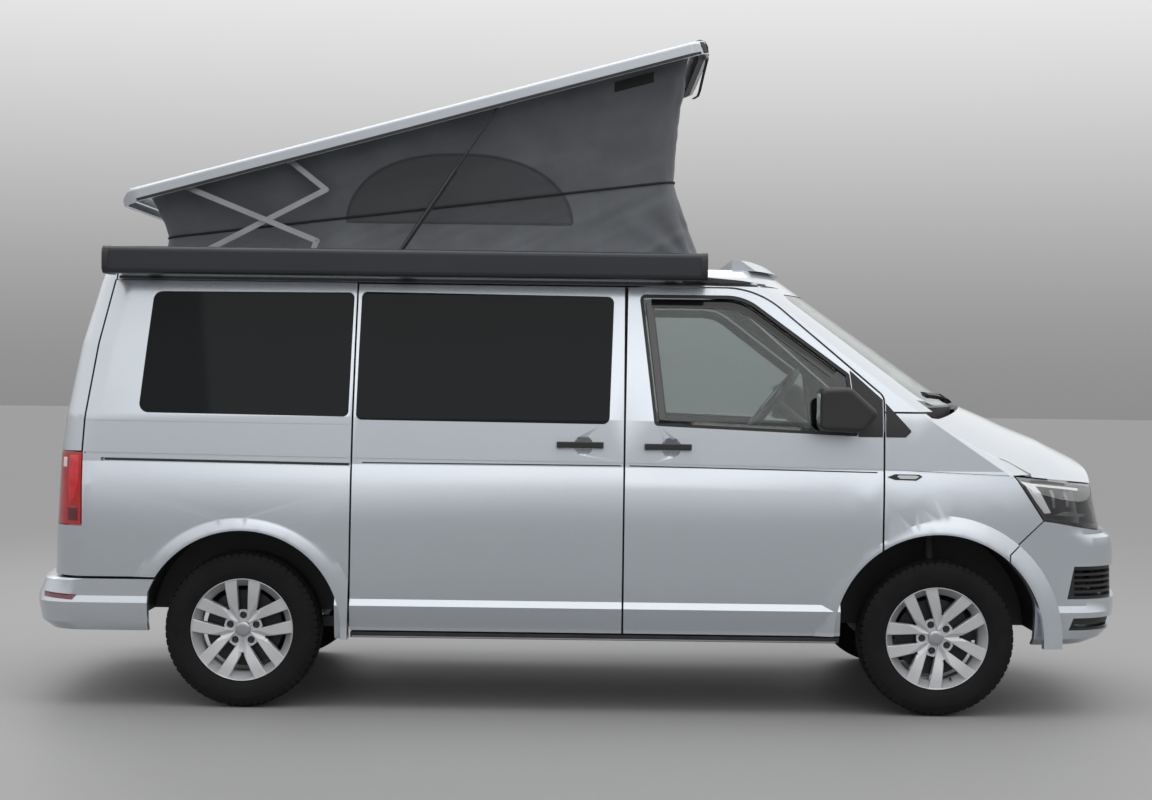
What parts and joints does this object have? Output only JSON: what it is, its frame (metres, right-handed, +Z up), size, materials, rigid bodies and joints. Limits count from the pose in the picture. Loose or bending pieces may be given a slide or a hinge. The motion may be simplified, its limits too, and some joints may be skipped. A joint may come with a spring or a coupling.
{
  "type": "camper van",
  "caption": "Panel-sided camper van with a raised front-opening roof on scissor arms, a fabric bellows, a side awning case, opening doors, steered and rolling wheels.",
  "frame": {"origin": "middle of the bounding box's bottom face, on the road under the van", "axes": "+X forward, +Y to the van's left, +Z up"},
  "size_m": [4.904, 2.3, 2.9323],
  "materials": {
    "paint": "silver metallic paint, clear coated",
    "roof_paint": "pale silver paint on moulded shell",
    "frame_steel": "dark primed steel",
    "black_trim": "grained black plastic",
    "glass_clear": "lightly green tinted glass",
    "glass_dark": "dark privacy glass",
    "lamp_clear": "clear lamp cover",
    "lamp_inside": "lamp bowl",
    "lamp_red": "red lamp cover",
    "alloy": "painted alloy",
    "tyre": "black rubber",
    "steel": "bare steel",
    "cast": "cast metal",
    "canvas": "dark grey woven fabric",
    "seat_cloth": "dark seat cloth",
    "awning_case": "anthracite powder coat",
    "unit": "pale laminate"
  },
  "bodies": {
    "body": {"body_frame": "frame_steel", "side_right": "paint", "side_left": "paint", "roof_frame": "paint", "cab_frame": "paint", "cowl": "black_trim", "windscreen": "glass_clear", "side_glass": "glass_dark", "sliding_door": "paint", "side_trim": "black_trim", "front_fenders": "paint", "front_bumper": "paint", "front_grille": "black_trim", "headlamp_housings": "lamp_inside", "headlamp_lenses": "lamp_clear", "tail_lamps": "lamp_red", "rear_bumper": "paint", "wheel_liners": "black_trim", "front_subframe": "cast", "rear_axle": "cast", "engine": "cast", "fuel_tank": "black_trim", "exhaust": "steel", "dashboard": "black_trim", "steering_wheel": "black_trim", "front_seats": "seat_cloth", "rear_bench": "seat_cloth", "kitchen_unit": "unit", "awning": "awning_case", "roof_cap": "roof_paint", "bellows": "canvas"},
    "right_door": {"door_right": "paint", "door_glass_right": "glass_clear", "door_trim_right": "black_trim"},
    "left_door": {"door_left": "paint", "door_glass_left": "glass_clear", "door_trim_left": "black_trim"},
    "rear_door": {"tailgate": "paint", "tailgate_glass": "glass_dark"},
    "hood": {"bonnet": "paint"},
    "carrier_right": {"knuckle_right": "cast"},
    "carrier_left": {"knuckle_left": "cast"},
    "lift_arms_b": {"roof_arms_b": "steel"},
    "lift_arms_a": {"roof_arms_a": "steel"},
    "lift_links_low": {"roof_links_low": "steel"},
    "lift_links_high": {"roof_links_high": "steel"},
    "lid": {"roof_shell": "roof_paint"},
    "strut_barrels": {"gas_barrels": "frame_steel"},
    "strut_rods": {"gas_rods": "steel"},
    "wheel_front_right": {"tyre_front_right": "tyre", "rim_front_right": "alloy"},
    "wheel_front_left": {"tyre_front_left": "tyre", "rim_front_left": "alloy"},
    "wheel_rear_right": {"tyre_rear_right": "tyre", "rim_rear_right": "alloy"},
    "wheel_rear_left": {"tyre_rear_left": "tyre", "rim_rear_left": "alloy"}
  },
  "joints": [
    {"name": "steer_right", "type": "hinge", "parent": "body", "child": "carrier_right", "pos_m": [1.544, -0.745, 0.215], "axis": [0, 0.1783, 0.984], "range_deg": [-35, 35]},
    {"name": "steer_left", "type": "hinge", "parent": "body", "child": "carrier_left", "pos_m": [1.544, 0.745, 0.215], "axis": [0, -0.1783, 0.984], "range_deg": [-35, 35]},
    {"name": "spin_front_right", "type": "hinge", "parent": "carrier_right", "child": "wheel_front_right", "pos_m": [1.544, -0.814, 0.3365], "axis": [0, 1, 0], "continuous": true},
    {"name": "spin_front_left", "type": "hinge", "parent": "carrier_left", "child": "wheel_front_left", "pos_m": [1.544, 0.814, 0.3365], "axis": [0, 1, 0], "continuous": true},
    {"name": "spin_rear_right", "type": "hinge", "parent": "body", "child": "wheel_rear_right", "pos_m": [-1.456, -0.814, 0.3365], "axis": [0, 1, 0], "continuous": true},
    {"name": "spin_rear_left", "type": "hinge", "parent": "body", "child": "wheel_rear_left", "pos_m": [-1.456, 0.814, 0.3365], "axis": [0, 1, 0], "continuous": true},
    {"name": "door_right", "type": "hinge", "parent": "body", "child": "right_door", "pos_m": [1.25, -0.937, 0.9], "axis": [0, 0.0523, 0.9986], "range_deg": [0, 70]},
    {"name": "door_left", "type": "hinge", "parent": "body", "child": "left_door", "pos_m": [1.25, 0.937, 0.9], "axis": [0, 0.0523, -0.9986], "range_deg": [0, 70]},
    {"name": "tailgate", "type": "hinge", "parent": "body", "child": "rear_door", "pos_m": [-2.04, 0, 1.936], "axis": [0, 1, 0], "range_deg": [0, 85]},
    {"name": "bonnet", "type": "hinge", "parent": "body", "child": "hood", "pos_m": [1.75, 0, 1.303], "axis": [0, -1, 0], "range_deg": [0, 50]},
    {"name": "roof_arm_b", "type": "hinge", "parent": "body", "child": "lift_arms_b", "pos_m": [-1.74, 0, 1.942], "axis": [0, 1, 0], "range_deg": [0, 27.71]},
    {"name": "roof_arm_a", "type": "hinge", "parent": "lift_arms_b", "child": "lift_arms_a", "pos_m": [-1.40281, 0, 2.11873], "axis": [0, 1, 0], "range_deg": [-49.41, 0]},
    {"name": "roof_lift", "type": "hinge", "parent": "lift_arms_a", "child": "lid", "pos_m": [-1.75736, 0, 2.25983], "axis": [0, 1, 0], "range_deg": [0, 37.04], "deforming": ["bellows"]},
    {"name": "roof_link_low", "type": "hinge", "parent": "body", "child": "lift_links_low", "pos_m": [-1.20787, 0, 1.942], "axis": [0, 1, 0], "range_deg": [0, 70.13]},
    {"name": "roof_link_high", "type": "hinge", "parent": "lift_arms_b", "child": "lift_links_high", "pos_m": [-1.14099, 0, 2.25595], "axis": [0, 1, 0], "range_deg": [-65.73, 0]},
    {"name": "gas_barrel", "type": "hinge", "parent": "body", "child": "strut_barrels", "pos_m": [-0.837, 0, 1.942], "axis": [0, 1, 0], "range_deg": [0, 56.76]},
    {"name": "gas_rod", "type": "slide", "parent": "strut_barrels", "child": "strut_rods", "axis": [-0.5489, 0, -0.8359], "range_m": [0, 0.30828]}
  ],
  "couplings": [
    {"joint": "steer_left", "follows": "steer_right", "ratio": 1},
    {"joint": "roof_arm_b", "follows": "roof_lift", "ratio": 0.74676},
    {"joint": "roof_arm_a", "follows": "roof_lift", "ratio": -1.3326},
    {"joint": "roof_link_low", "follows": "roof_lift", "ratio": 1.892},
    {"joint": "roof_link_high", "follows": "roof_lift", "ratio": -1.7732},
    {"joint": "gas_barrel", "follows": "roof_lift", "ratio": 1.531},
    {"joint": "gas_rod", "follows": "roof_lift", "m_per_rad": 0.47656}
  ]
}
